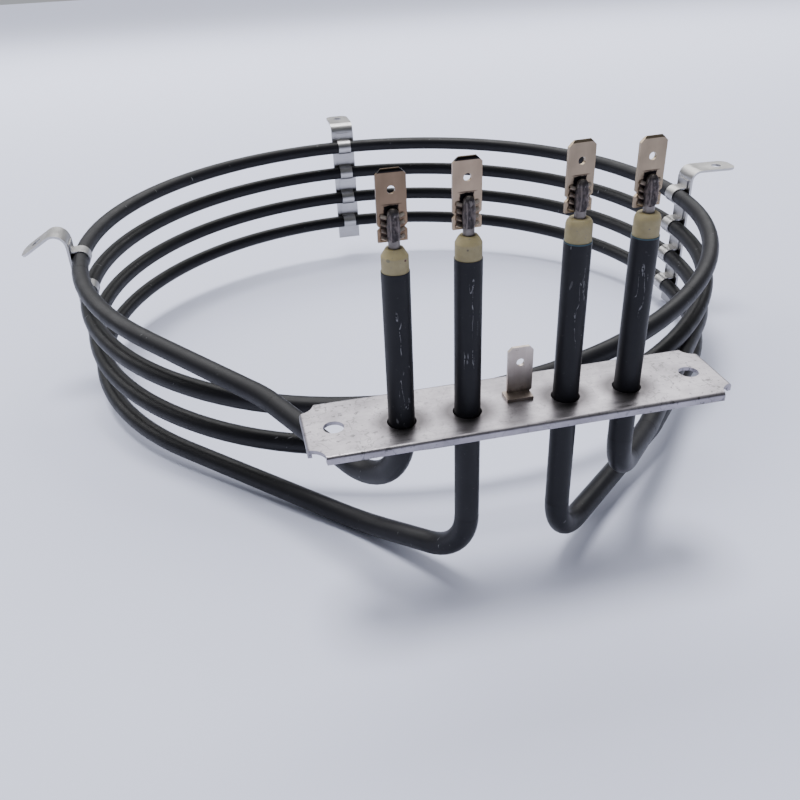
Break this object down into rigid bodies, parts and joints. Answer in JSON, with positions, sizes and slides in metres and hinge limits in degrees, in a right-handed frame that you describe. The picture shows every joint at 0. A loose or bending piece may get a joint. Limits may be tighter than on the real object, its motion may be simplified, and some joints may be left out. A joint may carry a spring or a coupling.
{
  "type": "tubular heating element",
  "caption": "Round tubular heating element with stacked turns, bent leads through a mounting plate, blade terminals and strip brackets for a fan oven.",
  "frame": {"origin": "middle of the mounting plate's top face, between its two fixing holes", "axes": "+X along the plate, +Y from the plate to the middle of the ring, +Z along the terminal legs"},
  "size_m": [0.3022, 0.3367, 0.1286],
  "materials": {
    "sheath": "matt, dark oxidised heat-resistant steel",
    "fill": "compacted white powder",
    "coil": "resistance alloy",
    "pin": "plain, darkened by the weld",
    "bead": "matt cream seal",
    "terminal": "nickel plate with a warm heat tint",
    "plate": "satin stainless sheet",
    "earth_tab": "bright satin",
    "bracket": "satin stainless strip"
  },
  "bodies": {
    "root": {"mounting_plate": "plate", "earth_tab": "earth_tab", "sheath_three_turns": "sheath", "sheath_one_turn": "sheath", "fill_three_turns": "fill", "fill_one_turn": "fill", "coil_three_turns": "coil", "coil_one_turn": "coil", "pin_1": "pin", "pin_2": "pin", "pin_3": "pin", "pin_4": "pin", "bead_1": "bead", "bead_2": "bead", "bead_3": "bead", "bead_4": "bead", "tab_1": "terminal", "tab_2": "terminal", "tab_3": "terminal", "tab_4": "terminal", "strip_right": "bracket", "strip_rear": "bracket", "strip_left": "bracket", "keeper_right": "bracket", "keeper_rear": "bracket", "keeper_left": "bracket"}
  },
  "joints": []
}
